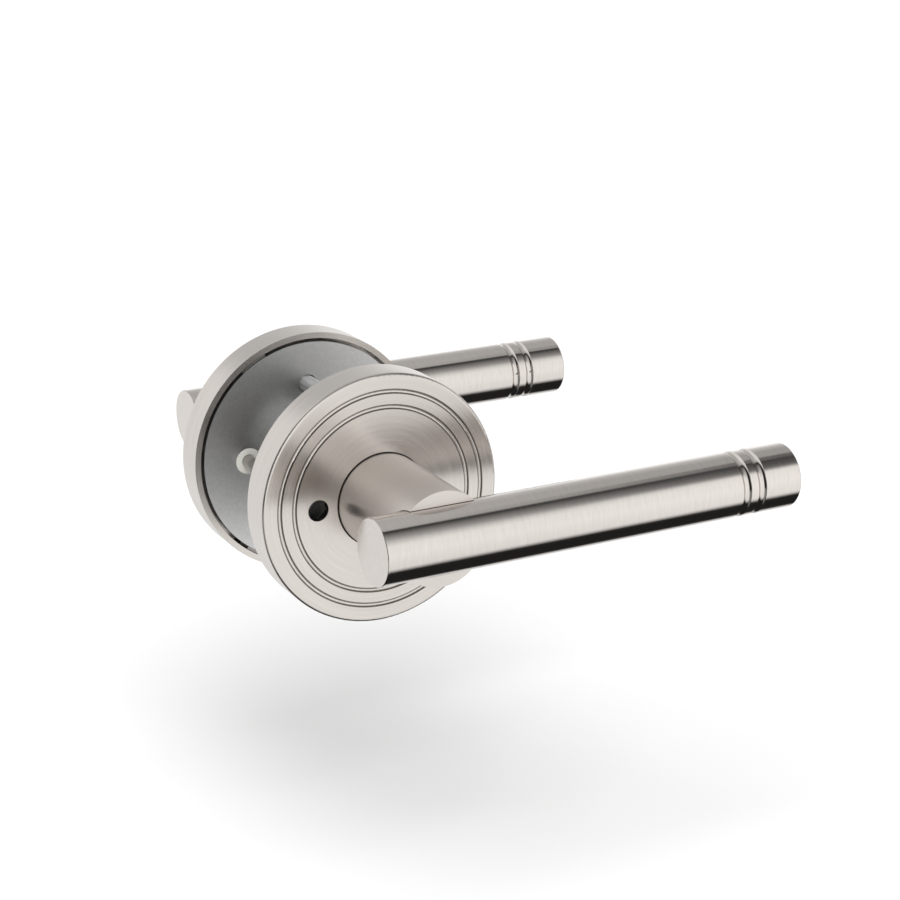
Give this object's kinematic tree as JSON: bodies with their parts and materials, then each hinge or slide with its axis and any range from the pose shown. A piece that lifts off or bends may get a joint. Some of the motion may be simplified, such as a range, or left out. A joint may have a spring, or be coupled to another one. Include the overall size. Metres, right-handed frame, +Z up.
{
  "type": "door lever set",
  "caption": "Privacy door lever set: straight round bar levers on necks and grooved round roses, with a square spindle, return springs and an inside push pin.",
  "frame": {"origin": "spindle axis at the door's middle plane", "axes": "+X from the spindle to the lever tips, +Y through the door from the outside to the inside, +Z up"},
  "size_m": [0.1351, 0.1364, 0.0666],
  "materials": {
    "satin_nickel": "satin brushed nickel",
    "polished_nickel": "polished nickel",
    "zinc_steel": "zinc plated steel",
    "spring_steel": "oiled spring steel",
    "black_steel": "black oxide steel",
    "nylon": "moulded nylon",
    "black_rubber": "moulded rubber"
  },
  "bodies": {
    "fixed_trim": {"outside_rose": "satin_nickel", "outside_bearing_bush": "nylon", "outside_spring_cage": "zinc_steel", "outside_return_spring": "spring_steel", "outside_rose_clips": "spring_steel", "outside_clip_rivets": "zinc_steel", "outside_mounting_plate": "zinc_steel", "inside_rose": "satin_nickel", "inside_bearing_bush": "nylon", "inside_spring_cage": "zinc_steel", "inside_return_spring": "spring_steel", "inside_rose_clips": "spring_steel", "inside_clip_rivets": "zinc_steel", "inside_mounting_plate": "zinc_steel", "threaded_posts": "zinc_steel", "mounting_screws": "zinc_steel", "privacy_pin_guide": "nylon", "pin_grip_ring": "black_rubber"},
    "levers_and_spindle": {"outside_neck": "satin_nickel", "outside_lever_bar": "satin_nickel", "outside_neck_bolt": "black_steel", "outside_grub_screw": "black_steel", "outside_thrust_washer": "zinc_steel", "outside_retaining_ring": "spring_steel", "outside_drive_cam": "zinc_steel", "inside_neck": "satin_nickel", "inside_lever_bar": "satin_nickel", "inside_neck_bolt": "black_steel", "inside_grub_screw": "black_steel", "inside_thrust_washer": "zinc_steel", "inside_retaining_ring": "spring_steel", "inside_drive_cam": "zinc_steel", "spindle": "zinc_steel"},
    "pin_and_knob": {"privacy_pin": "polished_nickel", "privacy_knob": "polished_nickel"}
  },
  "joints": [
    {"name": "lever_turn", "type": "hinge", "parent": "fixed_trim", "child": "levers_and_spindle", "pos_m": [0, 0, 0], "axis": [0, 1, 0], "range_deg": [0, 55], "stiffness_Nm_per_rad": 0.8, "springref_deg": -34.38, "deforming": ["outside_return_spring", "inside_return_spring"]},
    {"name": "privacy_pin_push", "type": "slide", "parent": "fixed_trim", "child": "pin_and_knob", "axis": [0, -1, 0], "range_m": [0, 0.004]}
  ]
}
